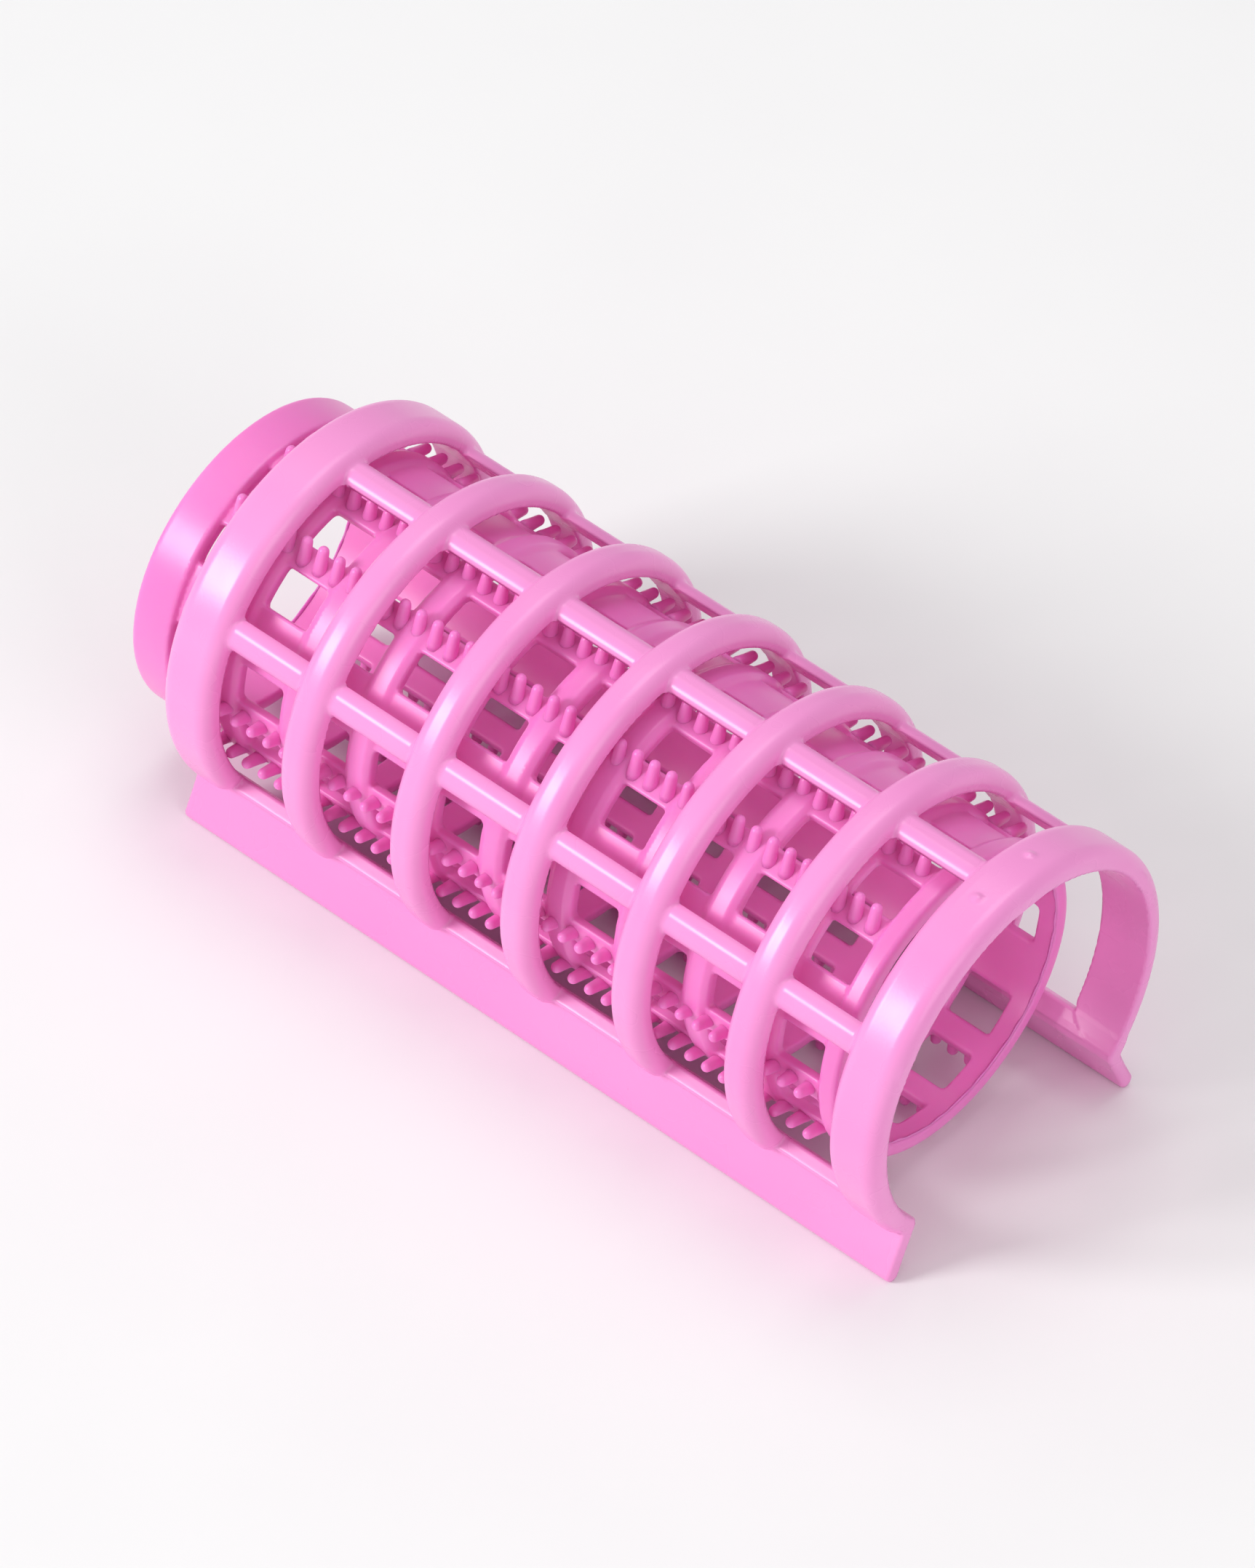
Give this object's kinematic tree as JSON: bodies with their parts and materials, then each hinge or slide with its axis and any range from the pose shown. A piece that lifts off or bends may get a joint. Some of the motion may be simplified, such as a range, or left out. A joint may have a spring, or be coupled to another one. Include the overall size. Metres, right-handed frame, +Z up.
{
  "type": "hair roller",
  "caption": "Hair roller with a clip-on cover: a perforated plastic core with rows of pegs inside a springy open cage with two flared rails.",
  "frame": {"origin": "floor height under the middle of the whole roller", "axes": "+X along the roller, towards the end where the cover overhangs the core; +Z up, towards the cover's crown; the cover's open side faces down"},
  "size_m": [0.0698, 0.03, 0.0282],
  "materials": {
    "core": "satin",
    "cover": "satin"
  },
  "bodies": {
    "core": {"core_barrel": "core", "peg_row_1": "core", "peg_row_2": "core", "peg_row_3": "core", "peg_row_4": "core", "peg_row_5": "core", "peg_row_6": "core", "peg_row_7": "core", "peg_row_8": "core"},
    "cover_crown": {"crown_bar": "cover", "crown_hoop_1": "cover", "crown_hoop_2": "cover", "crown_hoop_3": "cover", "crown_hoop_4": "cover", "crown_hoop_5": "cover", "crown_hoop_6": "cover", "crown_hoop_7": "cover"},
    "front_leg": {"front_side_bar": "cover", "front_rail": "cover", "front_hoop_1": "cover", "front_hoop_2": "cover", "front_hoop_3": "cover", "front_hoop_4": "cover", "front_hoop_5": "cover", "front_hoop_6": "cover", "front_hoop_7": "cover"},
    "rear_leg": {"rear_side_bar": "cover", "rear_rail": "cover", "rear_hoop_1": "cover", "rear_hoop_2": "cover", "rear_hoop_3": "cover", "rear_hoop_4": "cover", "rear_hoop_5": "cover", "rear_hoop_6": "cover", "rear_hoop_7": "cover"}
  },
  "joints": [
    {"name": "cover_slide", "type": "slide", "parent": "core", "child": "cover_crown", "axis": [1, 0, 0], "range_m": [-0.072, 0.061]},
    {"name": "rear_leg_flex", "type": "hinge", "parent": "cover_crown", "child": "rear_leg", "pos_m": [0.00275, 0.0075, 0.0262], "axis": [1, 0, 0], "range_deg": [0, 8.5], "stiffness_Nm_per_rad": 0.8},
    {"name": "front_leg_flex", "type": "hinge", "parent": "cover_crown", "child": "front_leg", "pos_m": [0.00275, -0.0075, 0.0262], "axis": [-1, 0, 0], "range_deg": [0, 8.5], "stiffness_Nm_per_rad": 0.8}
  ],
  "couplings": [
    {"joint": "front_leg_flex", "follows": "rear_leg_flex", "ratio": 1}
  ]
}
